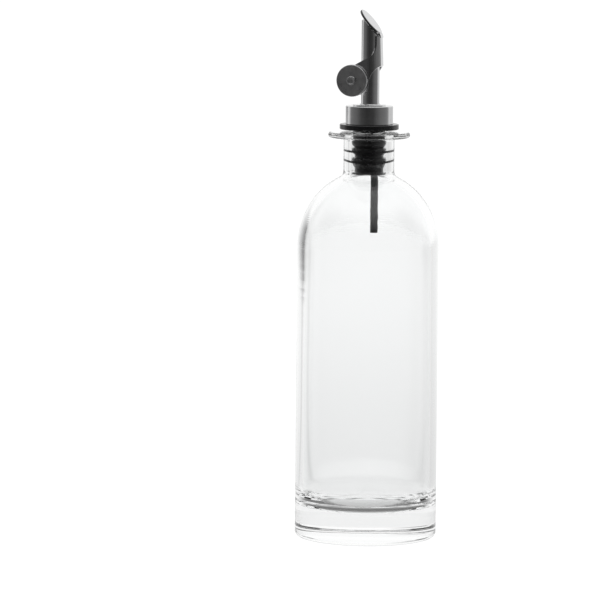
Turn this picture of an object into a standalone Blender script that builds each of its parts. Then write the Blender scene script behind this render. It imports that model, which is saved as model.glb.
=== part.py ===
"""Oil and vinegar bottle: a clear glass bottle with a rubber stopper and a steel flap pourer.

The origin is the centre of the base, on the table. +Z runs up the bottle. The pourer's lever swings
about a line along Y: its two weights hang at -X, and its back strip stands at +X.
Run with blender --background --python part.py, or from the text editor.
"""

import math

import bmesh
import bpy

MM = 0.001
GAP = 0.3 * MM  # left between two pieces that touch on the real object

# Glass bottle
BODY_R = 36.25 * MM
BODY_TOP_Z = 149.1 * MM
SHOULDER_H = 39.3 * MM
HEEL_R = 2.6 * MM
REST_RING_R = 28.0 * MM
PUNT_H = 1.6 * MM
FLOOR_Z = 17.0 * MM
FLOOR_CORNER = 9.0 * MM
INSIDE_R_LOW = 33.0 * MM
INSIDE_R_HIGH = 32.4 * MM
INSIDE_SHOULDER_H = 35.7 * MM
NECK_R = 13.0 * MM
BORE_R = 9.0 * MM
NECK_FOOT_Z = 188.0 * MM
LIP_R = 20.9 * MM
LIP_TOP_Z = 208.2 * MM
LIP_T = 2.6 * MM
LIP_RISE = 0.4 * MM  # the lip's top is a little higher at the bore

# Rubber stopper
RING_R = 15.1 * MM
RING_Z = 208.9 * MM
RING_T = 3.1 * MM
RING_EDGE = 0.4 * MM
SHAFT_R = 8.2 * MM
CORE_R = 7.3 * MM
FIN_R = BORE_R - GAP
BULGE_Z = 203.0 * MM
FIN_ZS = (199.3 * MM, 194.0 * MM)
FIN_RISES = (1.6 * MM, 2.6 * MM)
FIN_EDGE = 0.25 * MM
STOPPER_FOOT_Z = 186.1 * MM
STOPPER_FOOT_T = 1.5 * MM

# Steel collar and spout tube
COLLAR_R = 12.15 * MM
COLLAR_TOP_Z = 221.1 * MM
COLLAR_EDGE = 0.9 * MM
STEP_R = 8.7 * MM
STEP_H = 0.6 * MM
FLARE_R = 6.9 * MM  # foot of the flare that rises to the tube
FLARE_H = 1.5 * MM
TUBE_X = 0.35 * MM  # the tube stands a little behind the collar's axis
TUBE_R = 4.7 * MM
TUBE_WALL = 0.4 * MM
HOLE_R = TUBE_R + GAP
TUBE_FOOT_Z = 186.4 * MM
TUBE_TOP_Z = 265.0 * MM
MOUTH_Z = 262.7 * MM  # height of the slanted cut on the tube's own axis
MOUTH_SLOPE = math.radians(49.2)

# Plastic air tube, against the back of the spout tube
AIR_TUBE_R = 1.7 * MM
AIR_TUBE_WALL = 0.6 * MM
AIR_TUBE_X = TUBE_X + TUBE_R - TUBE_WALL - GAP - AIR_TUBE_R
AIR_TUBE_LOW_Z = 156.3 * MM
AIR_TUBE_TOP_Z = 250.7 * MM

# Flap lever, bent from one sheet round the back of the tube
PIVOT = (-1.0 * MM, 0.0, 238.4 * MM)
PIVOT_STUD_R = 0.8 * MM
SHEET_T = 0.9 * MM
WRAP_R = 5.55 * MM  # inner face of the sheet
WRAP_LEAN = math.radians(2.0)
WRAP_LOW_Z = 224.6 * MM
LEG_END_X = -18.0 * MM
STRIP_TOP_Z = 256.8 * MM
STRIP_EDGE_X = 4.95 * MM
STRIP_FOOT_Z = 241.9 * MM
CORNER_TOP_Z = 252.4 * MM
ARM_TOP = (-1.0 * MM, 244.9 * MM)
ARM_FOOT = (2.6 * MM, 237.3 * MM)
TAB_HALF_W = 2.0 * MM
FLAP_T = 1.4 * MM
FLAP_LENGTH_R = 7.9 * MM
FLAP_WIDTH_R = 5.4 * MM
FLAP_X = 0.45 * MM
FLAP_EDGE = 0.3 * MM
FLAP_LIFT = 0.35 * MM  # clear of the slanted cut

# Weights and the rivet through them
WEIGHT_X = -6.75 * MM
WEIGHT_Z = 234.3 * MM
WEIGHT_R = 8.15 * MM
WEIGHT_T = 2.4 * MM
WEIGHT_EDGE = 0.45 * MM
ARM_END_R = 7.85 * MM
RIVET_R = 1.1 * MM
RIVET_HEAD_R = 2.3 * MM
RIVET_HEAD_T = 0.5 * MM
RIVET_DISH = 0.2 * MM

CUTTER_REACH = 12.0 * MM  # past every piece it cuts
SMOOTH_UP_TO = math.radians(35)


def clear_scene():
    for old in list(bpy.data.objects):
        bpy.data.objects.remove(old, do_unlink=True)


def new_collection(name):
    made = bpy.data.collections.new(name)
    bpy.context.scene.collection.children.link(made)
    return made


clear_scene()
PARTS = new_collection("oil_and_vinegar_bottle")
CUTTERS = new_collection("cutters")


def new_material(name, colour, roughness, metallic, transmission=0.0):
    made = bpy.data.materials.new(name)
    made.use_nodes = True
    shader = made.node_tree.nodes["Principled BSDF"]
    shader.inputs["Base Color"].default_value = (*colour, 1.0)
    shader.inputs["Roughness"].default_value = roughness
    shader.inputs["Metallic"].default_value = metallic
    shader.inputs["Transmission Weight"].default_value = transmission
    made.diffuse_color = (*colour, 1.0)
    return made


GLASS = new_material("clear_glass", (0.93, 0.95, 0.95), 0.02, 0.0, 1.0)
RUBBER = new_material("black_rubber", (0.02, 0.02, 0.02), 0.55, 0.0)
STEEL = new_material("polished_steel", (0.62, 0.62, 0.62), 0.12, 1.0)
SATIN = new_material("satin_steel", (0.45, 0.45, 0.45), 0.32, 1.0)
PLASTIC = new_material("dark_plastic", (0.06, 0.06, 0.06), 0.35, 0.0)


def arc(centre, radius_x, radius_z, start_deg, end_deg, steps):
    """Points along an ellipse's arc in the profile plane, both ends included."""
    points = []
    for i in range(steps + 1):
        angle = math.radians(start_deg + (end_deg - start_deg) * i / steps)
        x = centre[0] + radius_x * math.cos(angle)
        z = centre[1] + radius_z * math.sin(angle)
        points.append((x, z))
    return points


def bend(start, corner, end, steps):
    """Points along a smooth bend from start to end that is pulled towards the corner."""
    points = []
    for i in range(steps + 1):
        t = i / steps
        a = (1 - t) ** 2
        b = 2 * t * (1 - t)
        c = t * t
        x = a * start[0] + b * corner[0] + c * end[0]
        z = a * start[1] + b * corner[1] + c * end[1]
        points.append((x, z))
    return points


def add_object(name, mesh, collection, material=None):
    made = bpy.data.objects.new(name, mesh)
    collection.objects.link(made)
    if material is not None:
        mesh.materials.append(material)
    return made


def turned(name, profile, steps, material, closed):
    """A profile in the XZ plane at +X, turned round Z. It runs down its outer side."""
    mesh = bpy.data.meshes.new(name)
    count = len(profile)
    edges = [(i, i + 1) for i in range(count - 1)]
    if closed:
        edges.append((count - 1, 0))
    mesh.from_pydata([(x, 0.0, z) for x, z in profile], edges, [])
    made = add_object(name, mesh, PARTS, material)
    screw = made.modifiers.new("turn", "SCREW")
    screw.axis = "Z"
    screw.steps = steps
    screw.render_steps = steps
    screw.use_merge_vertices = True
    screw.merge_threshold = 0.00001
    screw.use_smooth_shade = True
    return made


def as_mesh_cutter(source):
    """A plain mesh cutter from an evaluated curve, with its loose caps joined."""
    bpy.context.view_layer.update()
    evaluated = source.evaluated_get(bpy.context.evaluated_depsgraph_get())
    mesh = bpy.data.meshes.new_from_object(evaluated)
    welded = bmesh.new()
    welded.from_mesh(mesh)
    bmesh.ops.remove_doubles(welded, verts=welded.verts, dist=0.000001)
    bmesh.ops.recalc_face_normals(welded, faces=welded.faces)
    welded.to_mesh(mesh)
    welded.free()
    name = source.name
    made = bpy.data.objects.new(name + "_mesh", mesh)
    CUTTERS.objects.link(made)
    made.matrix_world = source.matrix_world.copy()
    bpy.data.objects.remove(source, do_unlink=True)
    made.name = name
    return made


def side_outline(name, outline, half_width):
    """A flat outline in the XZ plane, as thick as twice half_width along Y."""
    curve = bpy.data.curves.new(name, "CURVE")
    curve.dimensions = "2D"
    curve.fill_mode = "BOTH"
    curve.extrude = half_width
    spline = curve.splines.new("POLY")
    spline.points.add(len(outline) - 1)
    for point, (x, z) in zip(spline.points, outline):
        point.co = (x, z, 0.0, 1.0)
    spline.use_cyclic_u = True
    made = bpy.data.objects.new(name, curve)
    CUTTERS.objects.link(made)
    made.rotation_euler = (math.pi / 2, 0.0, 0.0)
    return as_mesh_cutter(made)


def cross_pin(name, x, z, radius, half_length, sides):
    """A round bar along Y."""
    mesh = bpy.data.meshes.new(name)
    shape = bmesh.new()
    bmesh.ops.create_cone(
        shape, cap_ends=True, segments=sides, radius1=radius, radius2=radius, depth=2 * half_length
    )
    shape.to_mesh(mesh)
    shape.free()
    made = add_object(name, mesh, CUTTERS)
    made.rotation_euler = (math.pi / 2, 0.0, 0.0)
    made.location = (x, 0.0, z)
    return made


def upright_bar(name, x, middle_z, radius, length):
    """A round bar along Z."""
    mesh = bpy.data.meshes.new(name)
    shape = bmesh.new()
    bmesh.ops.create_cone(shape, cap_ends=True, segments=36, radius1=radius, radius2=radius, depth=length)
    shape.to_mesh(mesh)
    shape.free()
    made = add_object(name, mesh, CUTTERS)
    made.location = (x, 0.0, middle_z)
    return made


def combine(target, other, operation):
    """Adds one Boolean to the target and keeps the other object as a hidden guide."""
    step = target.modifiers.new(other.name, "BOOLEAN")
    step.operation = operation
    step.object = other
    other.hide_render = True
    other.display_type = "WIRE"


def smooth_round_faces(made):
    made.data.shade_smooth()
    made.data.set_sharp_from_angle(angle=SMOOTH_UP_TO)


# Glass bottle: inside surface from the floor up, over the lip, and down the outside


def bottle_profile():
    wall_foot = FLOOR_Z + FLOOR_CORNER
    flat_r = INSIDE_R_LOW - FLOOR_CORNER
    inside = [(0.0, FLOOR_Z)]
    inside += arc((flat_r, wall_foot), FLOOR_CORNER, FLOOR_CORNER, -90, 0, 5)
    inside += arc((0.0, BODY_TOP_Z), INSIDE_R_HIGH, INSIDE_SHOULDER_H, 0, 66, 8)
    bore_foot = (BORE_R, NECK_FOOT_Z - 1.0 * MM)
    inside += bend(inside[-1], (BORE_R + 0.6 * MM, NECK_FOOT_Z - 4.2 * MM), bore_foot, 3)[1:]
    edge = 0.8 * MM
    bore_top = LIP_TOP_Z + LIP_RISE
    over = [(BORE_R, bore_top - edge), (BORE_R + edge, bore_top)]
    lip_mid = LIP_TOP_Z - LIP_T / 2
    over += arc((LIP_R - LIP_T / 2, lip_mid), LIP_T / 2, LIP_T / 2, 90, -90, 6)
    under = LIP_TOP_Z - LIP_T
    fillet = 1.4 * MM
    over += bend((NECK_R + fillet, under), (NECK_R, under), (NECK_R, under - fillet), 3)
    shoulder_deg = 65
    shoulder = arc((0.0, BODY_TOP_Z), BODY_R, SHOULDER_H, shoulder_deg, 0, 9)
    outside = bend((NECK_R, NECK_FOOT_Z), (NECK_R, NECK_FOOT_Z - 2.4 * MM), shoulder[0], 3)
    outside += shoulder[1:]
    outside += arc((BODY_R - HEEL_R, HEEL_R), HEEL_R, HEEL_R, 0, -90, 4)
    outside += [(REST_RING_R, 0.0)]
    outside += bend((REST_RING_R, 0.0), (REST_RING_R * 0.6, PUNT_H), (0.0, PUNT_H), 4)[1:]
    return inside + over + outside


bottle = turned("bottle", bottle_profile(), 48, GLASS, closed=False)


# Rubber stopper: a wide ring over the lip, a shaft, a bulge, two fins and a foot


def stopper_profile():
    ring_top = RING_Z + RING_T
    hole_r = TUBE_X + HOLE_R
    outline = [
        (hole_r, ring_top),
        (RING_R - RING_EDGE, ring_top),
        (RING_R, ring_top - RING_EDGE),
        (RING_R, RING_Z + RING_EDGE),
        (RING_R - RING_EDGE, RING_Z),
        (SHAFT_R, RING_Z),
        (SHAFT_R, BULGE_Z + 1.9 * MM),
        (FIN_R, BULGE_Z + 1.3 * MM),
        (FIN_R, BULGE_Z),
        (CORE_R + 0.3 * MM, BULGE_Z - 1.0 * MM),
    ]
    for fin_z, rise in zip(FIN_ZS, FIN_RISES):
        outline += [
            (CORE_R, fin_z + rise),
            (FIN_R, fin_z + FIN_EDGE),
            (FIN_R, fin_z - FIN_EDGE),
            (CORE_R, fin_z - 1.1 * MM),
        ]
    foot_top = STOPPER_FOOT_Z + STOPPER_FOOT_T
    outline += [
        (CORE_R, foot_top + 0.3 * MM),
        (FIN_R, foot_top),
        (FIN_R, STOPPER_FOOT_Z + RING_EDGE),
        (FIN_R - RING_EDGE, STOPPER_FOOT_Z),
        (hole_r, STOPPER_FOOT_Z),
    ]
    return outline


stopper = turned("stopper", stopper_profile(), 32, RUBBER, closed=True)


# Steel collar: a turned cap with a low step on top and a flare that rises to the tube


def collar_profile():
    bottom = RING_Z + RING_T + GAP
    edge_centre = (COLLAR_R - COLLAR_EDGE, COLLAR_TOP_Z - COLLAR_EDGE)
    step_top = COLLAR_TOP_Z + STEP_H
    flare_top = (TUBE_X + HOLE_R + 0.2 * MM, step_top + FLARE_H)
    outline = [(0.0, flare_top[1])]
    outline += bend(flare_top, (flare_top[0], step_top), (FLARE_R, step_top), 4)
    outline += [
        (STEP_R - 0.3 * MM, step_top),
        (STEP_R, step_top - 0.15 * MM),
        (STEP_R, COLLAR_TOP_Z),
    ]
    outline += arc(edge_centre, COLLAR_EDGE, COLLAR_EDGE, 90, 0, 4)
    outline += [(COLLAR_R, bottom), (0.0, bottom)]
    return outline


collar = turned("collar", collar_profile(), 40, STEEL, closed=False)
combine(collar, upright_bar("collar_hole", TUBE_X, COLLAR_TOP_Z, HOLE_R, 2 * SHOULDER_H), "DIFFERENCE")


# Spout tube: a plain tube cut on a slant, with two short studs that carry the lever


def spout_profile():
    inner_r = TUBE_R - TUBE_WALL
    return [
        (inner_r, TUBE_TOP_Z),
        (TUBE_R, TUBE_TOP_Z),
        (TUBE_R, TUBE_FOOT_Z),
        (inner_r, TUBE_FOOT_Z),
    ]


def slant_z(x, lift=0.0):
    """Height at x of a plane parallel to the mouth's cut, lifted square to it."""
    return MOUTH_Z + lift / math.cos(MOUTH_SLOPE) - x * math.tan(MOUTH_SLOPE)


def mouth_cutter():
    low_side, high_side = slant_z(CUTTER_REACH), slant_z(-CUTTER_REACH)
    outline = [(-CUTTER_REACH, high_side), (CUTTER_REACH, low_side), (CUTTER_REACH, high_side)]
    return side_outline("mouth_cutter", outline, CUTTER_REACH)


def add_studs(tube):
    """Both studs come from one cross bar, less its middle, so that the bore stays open."""
    bar = cross_pin("pivot_bar", PIVOT[0], PIVOT[2], PIVOT_STUD_R, WRAP_R + 0.7 * SHEET_T, 16)
    bar_middle = upright_bar("bar_middle", TUBE_X, PIVOT[2], TUBE_R - TUBE_WALL / 2, 2 * CUTTER_REACH)
    combine(bar, bar_middle, "DIFFERENCE")
    combine(tube, bar, "UNION")


spout_tube = turned("spout_tube", spout_profile(), 36, STEEL, closed=True)
spout_tube.location.x = TUBE_X
combine(spout_tube, mouth_cutter(), "DIFFERENCE")
add_studs(spout_tube)


# Air tube: a thin plastic tube that hangs below the stopper and ends flat


def air_tube_profile():
    inner_r = AIR_TUBE_R - AIR_TUBE_WALL
    return [
        (inner_r, AIR_TUBE_TOP_Z),
        (AIR_TUBE_R, AIR_TUBE_TOP_Z),
        (AIR_TUBE_R, AIR_TUBE_LOW_Z),
        (inner_r, AIR_TUBE_LOW_Z),
    ]


air_tube = turned("air_tube", air_tube_profile(), 20, PLASTIC, closed=True)
air_tube.location.x = AIR_TUBE_X


# Flap lever: a sheet wrapped round the tube's back, trimmed to its side view, with the flap on top


def wrapped_sheet():
    """An open sheet, U-shaped from above, that leans back a little towards its foot."""
    path = [(LEG_END_X, -WRAP_R)]
    path += arc((0.0, 0.0), WRAP_R, WRAP_R, -90, 90, 20)
    path += [(LEG_END_X, WRAP_R)]
    verts = []
    for z in (WRAP_LOW_Z, STRIP_TOP_Z):
        lean = (STRIP_TOP_Z - z) * math.tan(WRAP_LEAN)
        verts += [(x + lean, y, z) for x, y in path]
    count = len(path)
    faces = [(i, i + 1, count + i + 1, count + i) for i in range(count - 1)]
    mesh = bpy.data.meshes.new("flap_lever")
    mesh.from_pydata(verts, [], faces)
    made = add_object("flap_lever", mesh, PARTS, STEEL)
    thick = made.modifiers.new("sheet", "SOLIDIFY")
    thick.thickness = SHEET_T
    thick.offset = 1.0
    return made


def lever_side_view():
    """Side view of strip and arms: up the front edge, over the top, down the back, round the arm."""
    arm_end = arc((WEIGHT_X, WEIGHT_Z), ARM_END_R, ARM_END_R, -8, -274, 22)
    top_edge = bend(arm_end[-1], (-3.2 * MM, 243.8 * MM), ARM_TOP, 3)
    inner_corner = bend(ARM_TOP, (STRIP_EDGE_X, ARM_TOP[1] + 1.8 * MM), (STRIP_EDGE_X, CORNER_TOP_Z), 6)
    over = STRIP_TOP_Z + GAP
    strip = [(STRIP_EDGE_X, over), (CUTTER_REACH, over), (CUTTER_REACH, STRIP_FOOT_Z)]
    foot = bend((6.9 * MM, STRIP_FOOT_Z), (4.4 * MM, STRIP_FOOT_Z - 1.3 * MM), ARM_FOOT, 4)
    foot += [arm_end[0]]
    return arm_end[1:] + top_edge[1:] + inner_corner[1:] + strip + foot


def flap_plate():
    """The oval flap, square to the mouth's cut and just above it."""
    mesh = bpy.data.meshes.new("flap_plate")
    shape = bmesh.new()
    bmesh.ops.create_cone(shape, cap_ends=True, segments=40, radius1=1.0, radius2=1.0, depth=1.0)
    bmesh.ops.scale(shape, verts=shape.verts, vec=(FLAP_LENGTH_R, FLAP_WIDTH_R, FLAP_T))
    caps = [face for face in shape.faces if len(face.verts) > 4]
    rim = [edge for cap in caps for edge in cap.edges]
    bmesh.ops.bevel(shape, geom=rim, offset=FLAP_EDGE, segments=1, affect="EDGES")
    shape.to_mesh(mesh)
    shape.free()
    made = add_object("flap_plate", mesh, CUTTERS)
    made.rotation_euler = (0.0, MOUTH_SLOPE, 0.0)
    made.location = (FLAP_X, 0.0, slant_z(FLAP_X, FLAP_LIFT + FLAP_T / 2))
    return made


def bent_tab():
    """The narrow tab that bends from the strip's top edge into the flap."""
    foot_z = STRIP_TOP_Z - 0.8 * MM
    inner_x = WRAP_R + (STRIP_TOP_Z - foot_z) * math.tan(WRAP_LEAN) / 2
    outer_x = inner_x + SHEET_T
    flap_top = FLAP_LIFT + FLAP_T - 0.2 * MM
    tip_x = 3.6 * MM
    outer_start = (outer_x, STRIP_TOP_Z - 0.6 * MM)
    outer_bend = bend(outer_start, (outer_x, STRIP_TOP_Z + 1.4 * MM), (tip_x, slant_z(tip_x, flap_top)), 5)
    under = FLAP_LIFT + 0.3 * MM
    inner_end = (inner_x, STRIP_TOP_Z - 0.8 * MM + GAP)
    inner_bend = bend((tip_x, slant_z(tip_x, under)), (inner_x, STRIP_TOP_Z + 0.4 * MM), inner_end, 4)
    outline = [(outer_x, foot_z)] + outer_bend + inner_bend + [(inner_x, foot_z)]
    return side_outline("bent_tab", outline, TAB_HALF_W)


lever = wrapped_sheet()
combine(lever, side_outline("lever_side_view", lever_side_view(), CUTTER_REACH), "INTERSECT")
combine(lever, bent_tab(), "UNION")
combine(lever, flap_plate(), "UNION")
pivot_hole = cross_pin("pivot_hole", PIVOT[0], PIVOT[2], PIVOT_STUD_R + GAP, CUTTER_REACH, 16)
rivet_hole = cross_pin("rivet_hole", WEIGHT_X, WEIGHT_Z, RIVET_R + GAP, CUTTER_REACH, 16)
combine(lever, pivot_hole, "DIFFERENCE")
combine(lever, rivet_hole, "DIFFERENCE")
smooth_round_faces(lever)


# Weights: two turned discs outside the arms, held by one rivet


def weight_profile():
    hole_r = RIVET_R + GAP
    half = WEIGHT_T / 2
    outline = [(hole_r, half)]
    outline += arc((WEIGHT_R - WEIGHT_EDGE, half - WEIGHT_EDGE), WEIGHT_EDGE, WEIGHT_EDGE, 90, 0, 2)
    outline += arc((WEIGHT_R - WEIGHT_EDGE, WEIGHT_EDGE - half), WEIGHT_EDGE, WEIGHT_EDGE, 0, -90, 2)
    outline += [(hole_r, -half)]
    return outline


def rivet_profile():
    """Half the rivet above its middle, mirrored below: a pin between two dished heads."""
    seat = WRAP_R + SHEET_T + GAP + WEIGHT_T + GAP
    top = seat + RIVET_HEAD_T
    upper = [
        (0.0, top - RIVET_DISH),
        (RIVET_HEAD_R * 0.6, top - RIVET_DISH),
        (RIVET_HEAD_R * 0.75, top),
        (RIVET_HEAD_R - RIVET_DISH, top),
        (RIVET_HEAD_R, top - RIVET_DISH),
        (RIVET_HEAD_R, seat),
        (RIVET_R, seat),
    ]
    return upper + [(x, -z) for x, z in reversed(upper)]


WEIGHT_Y = WRAP_R + SHEET_T + GAP + WEIGHT_T / 2
weights = []
for side, sign in (("near", -1), ("far", 1)):
    disc = turned("weight_" + side, weight_profile(), 40, SATIN, closed=True)
    disc.rotation_euler = (math.pi / 2, 0.0, 0.0)
    disc.location = (WEIGHT_X, sign * WEIGHT_Y, WEIGHT_Z)
    weights.append(disc)

rivet = turned("weight_rivet", rivet_profile(), 20, SATIN, closed=False)
rivet.rotation_euler = (math.pi / 2, 0.0, 0.0)
rivet.location = (WEIGHT_X, 0.0, WEIGHT_Z)


# The lever, its weights and the rivet hang from one empty on the pivot's axis

pivot = bpy.data.objects.new("flap_pivot", None)
PARTS.objects.link(pivot)
pivot.location = PIVOT
bpy.context.view_layer.update()
for piece in (lever, rivet, *weights):
    piece.parent = pivot
    piece.matrix_parent_inverse = pivot.matrix_world.inverted()
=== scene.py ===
# %% [markdown]
# # Oil and vinegar bottle: dressing the CAD frame for the camera
#
# The real object is a clear glass bottle with a wide lip. A finned rubber stopper sits in its neck and
# carries a turned steel collar, a steel spout tube cut on a slant, and a bent steel lever with a flap on
# top and two weights at its foot. When the bottle tips, the weights swing and the flap opens.
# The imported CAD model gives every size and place. This lesson rebuilds each piece with a finer mesh and
# gives it a procedural finish, so that light behaves as it does in real glass, rubber and steel.

import math

import bmesh
import bpy
from mathutils import Matrix, Vector, noise


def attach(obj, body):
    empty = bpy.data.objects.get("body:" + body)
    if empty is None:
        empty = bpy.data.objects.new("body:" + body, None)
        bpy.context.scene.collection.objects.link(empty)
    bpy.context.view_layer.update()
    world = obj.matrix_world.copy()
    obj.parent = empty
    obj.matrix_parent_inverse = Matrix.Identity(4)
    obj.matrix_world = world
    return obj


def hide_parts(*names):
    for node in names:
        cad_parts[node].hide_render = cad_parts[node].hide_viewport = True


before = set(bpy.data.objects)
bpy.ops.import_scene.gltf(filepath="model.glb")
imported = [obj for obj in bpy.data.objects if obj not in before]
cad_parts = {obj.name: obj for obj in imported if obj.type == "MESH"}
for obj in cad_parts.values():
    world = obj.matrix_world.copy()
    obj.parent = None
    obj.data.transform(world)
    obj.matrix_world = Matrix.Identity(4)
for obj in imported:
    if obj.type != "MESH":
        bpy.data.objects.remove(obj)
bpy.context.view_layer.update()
MM = 0.001
print("nodes:", sorted(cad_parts))

# %% [markdown]
# ## Camera
#
# The ellipses in the photograph give the camera's place: the base looks twice as round as the lip, so the
# camera is only a little above the lip and about two metres away, with a long lens. It stands 19 degrees
# to the right of the pourer's side view, is aimed beside the bottle, and leans by half a degree.

# %% Camera
CAMERA_AZIMUTH = math.radians(19.0)
CAMERA_DISTANCE = 2.19
CAMERA_HEIGHT = 0.375
AIM_LEFT = 0.0345
AIM_HEIGHT = 0.1214
CAMERA_LEAN = math.radians(0.484)
LENS_MM = 258.63

towards_camera = Vector((math.sin(CAMERA_AZIMUTH), -math.cos(CAMERA_AZIMUTH), 0.0))
camera_right = Vector((math.cos(CAMERA_AZIMUTH), math.sin(CAMERA_AZIMUTH), 0.0))
camera = bpy.data.objects.new("camera", bpy.data.cameras.new("camera"))
bpy.context.scene.collection.objects.link(camera)
camera.location = towards_camera * CAMERA_DISTANCE + Vector((0.0, 0.0, CAMERA_HEIGHT))
aim = Vector((0.0, 0.0, AIM_HEIGHT)) - camera_right * AIM_LEFT
look = (aim - camera.location).to_track_quat("-Z", "Y").to_matrix()
camera.rotation_euler = look.to_euler()
camera.rotation_euler.rotate_axis("Z", CAMERA_LEAN)
camera.data.lens = LENS_MM
camera.data.clip_end = 20.0
bpy.context.scene.camera = camera
print("camera is", round((aim - camera.location).length, 3), "m from its aim")

# %% [markdown]
# ## Studio
#
# Clear glass has no colour of its own: it is drawn by what stands round it. Product photographers put a
# bright sheet behind and to the sides, and keep the room in front dark. The glass then looks light with
# thin dark edges, and polished steel shows a dark stripe between two light ones. A black card stands far
# behind on the left, just outside the picture, and gives the left shoulder its dark edge.
# One node group holds this room: it turns a direction into an angle round the bottle, and a curve gives
# the brightness there. The angle is 0 towards the camera and grows to the right. A ray that has only
# passed through glass, without a reflection on its way, sees the front half light as well. So the bottle
# is clear from behind too, and the dark side of the room shows in its reflections alone.

# %% Room light by direction
ROOM_STOPS = (
    (-180.0, 1.02),
    (-170.0, 0.98),
    (-166.0, 0.94),
    (-163.0, 0.74),
    (-159.0, 0.90),
    (-148.0, 0.92),
    (-141.0, 0.60),
    (-134.0, 0.88),
    (-115.0, 0.86),
    (-107.0, 0.45),
    (-99.0, 0.24),
    (-82.0, 0.18),
    (-64.0, 0.145),
    (-39.0, 0.060),
    (-12.0, 0.034),
    (20.0, 0.048),
    (56.0, 0.165),
    (82.0, 0.22),
    (99.0, 0.30),
    (107.0, 0.60),
    (115.0, 0.82),
    (127.0, 0.72),
    (140.0, 0.76),
    (155.0, 0.78),
    (163.0, 0.80),
    (168.0, 0.92),
    (173.0, 0.99),
    (180.0, 1.02),
)
CARD_FADE = (math.radians(-169.0), math.radians(-136.0))
CARD_END = (math.radians(-134.0), math.radians(-122.0))
CARD_DARK = 0.80
BACK_START = (math.radians(100.0), math.radians(115.0))
LEVEL_LIMIT = 2.0
FRONT_THROUGH_GLASS = 0.92
UNDER_ONE_BOUNCE = 0.5


def add_node(tree, kind, inputs=(), **settings):
    """A node with its settings. Each input is (socket, value), and a value may be another node's output."""
    made = tree.nodes.new(kind)
    for name, value in settings.items():
        setattr(made, name, value)
    for socket, value in inputs:
        if isinstance(value, bpy.types.NodeSocket):
            tree.links.new(value, made.inputs[socket])
        else:
            made.inputs[socket].default_value = value
    return made


def calculate(tree, operation, *values):
    """A Math node's result."""
    return add_node(tree, "ShaderNodeMath", enumerate(values), operation=operation).outputs[0]


def part_along(tree, vector, way):
    """How far a vector reaches along a fixed direction."""
    sockets = ((0, vector), (1, way))
    return add_node(tree, "ShaderNodeVectorMath", sockets, operation="DOT_PRODUCT").outputs["Value"]


def mix_values(tree, share, plain, full):
    """Goes from plain to full while the share goes from 0 to 1."""
    return add_node(tree, "ShaderNodeMix", (("Factor", share), ("A", plain), ("B", full))).outputs[0]


def smooth_range(tree, value, low, high, start=0.0, end=1.0, kind="SMOOTHSTEP"):
    """Goes smoothly from start to end while the value goes from low to high."""
    sockets = (("Value", value), ("From Min", low), ("From Max", high), ("To Min", start), ("To Max", end))
    return add_node(tree, "ShaderNodeMapRange", sockets, interpolation_type=kind).outputs["Result"]


room = bpy.data.node_groups.new("studio_room", "ShaderNodeTree")
room.interface.new_socket("Direction", in_out="INPUT", socket_type="NodeSocketVector")
room.interface.new_socket("Level", in_out="OUTPUT", socket_type="NodeSocketFloat")
room.interface.new_socket("Card", in_out="OUTPUT", socket_type="NodeSocketFloat")
room.interface.new_socket("Back", in_out="OUTPUT", socket_type="NodeSocketFloat")
direction = room.nodes.new("NodeGroupInput").outputs[0]
front, side = (part_along(room, direction, way) for way in (towards_camera, camera_right))
angle = calculate(room, "ARCTAN2", side, front)
share = calculate(room, "DIVIDE", calculate(room, "ADD", angle, math.pi), 2 * math.pi)
level = add_node(room, "ShaderNodeFloatCurve", (("Value", share),))
level.mapping.clip_max_y = LEVEL_LIMIT
stops = level.mapping.curves[0].points
for i, (degrees, brightness) in enumerate(ROOM_STOPS):
    place = ((degrees + 180.0) / 360.0, brightness)
    if i in (0, len(ROOM_STOPS) - 1):
        stops[0 if i == 0 else len(stops) - 1].location = place
    else:
        stops.new(*place)
for stop in stops:
    stop.handle_type = "VECTOR"
level.mapping.update()
card_fade = smooth_range(room, angle, *CARD_FADE, 0.0, CARD_DARK, kind="LINEAR")
card = calculate(room, "MULTIPLY", card_fade, smooth_range(room, angle, *CARD_END, 1.0, 0.0))
back = smooth_range(room, calculate(room, "ABSOLUTE", angle), *BACK_START)
path = add_node(room, "ShaderNodeLightPath").outputs
bounced = calculate(room, "ADD", path["Glossy Depth"], path["Diffuse Depth"])
unbounced = calculate(room, "LESS_THAN", bounced, UNDER_ONE_BOUNCE)
through_glass = calculate(room, "MULTIPLY", path["Is Transmission Ray"], unbounced)
lifted = calculate(room, "MULTIPLY", through_glass, calculate(room, "SUBTRACT", 1.0, back))
seen_level = mix_values(room, lifted, level.outputs["Value"], FRONT_THROUGH_GLASS)
room_output = room.nodes.new("NodeGroupOutput")
for socket, value in (("Level", seen_level), ("Card", card), ("Back", back)):
    room.links.new(value, room_output.inputs[socket])
print("room light runs from", min(v for _, v in ROOM_STOPS), "to", max(v for _, v in ROOM_STOPS))

# %% [markdown]
# The world shader uses the group for every ray that leaves the scene. High up, the room turns into one
# large soft ceiling light. Rays that come straight to the camera see plain white, as behind a cut-out.

# %% Room walls and ceiling
CEILING = 0.95
CEILING_LOW = math.sin(math.radians(18.0))
CEILING_HIGH = math.sin(math.radians(62.0))
CARD_FOOT = (math.sin(math.radians(-4.4)), math.sin(math.radians(-4.0)))
CARD_HEAD = (math.sin(math.radians(4.0)), math.sin(math.radians(10.0)))
BACK_FOOT = (math.sin(math.radians(-5.0)), math.sin(math.radians(-1.0)))
BACK_LEVEL = 1.02
SEEN_WHITE = 1.06

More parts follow.
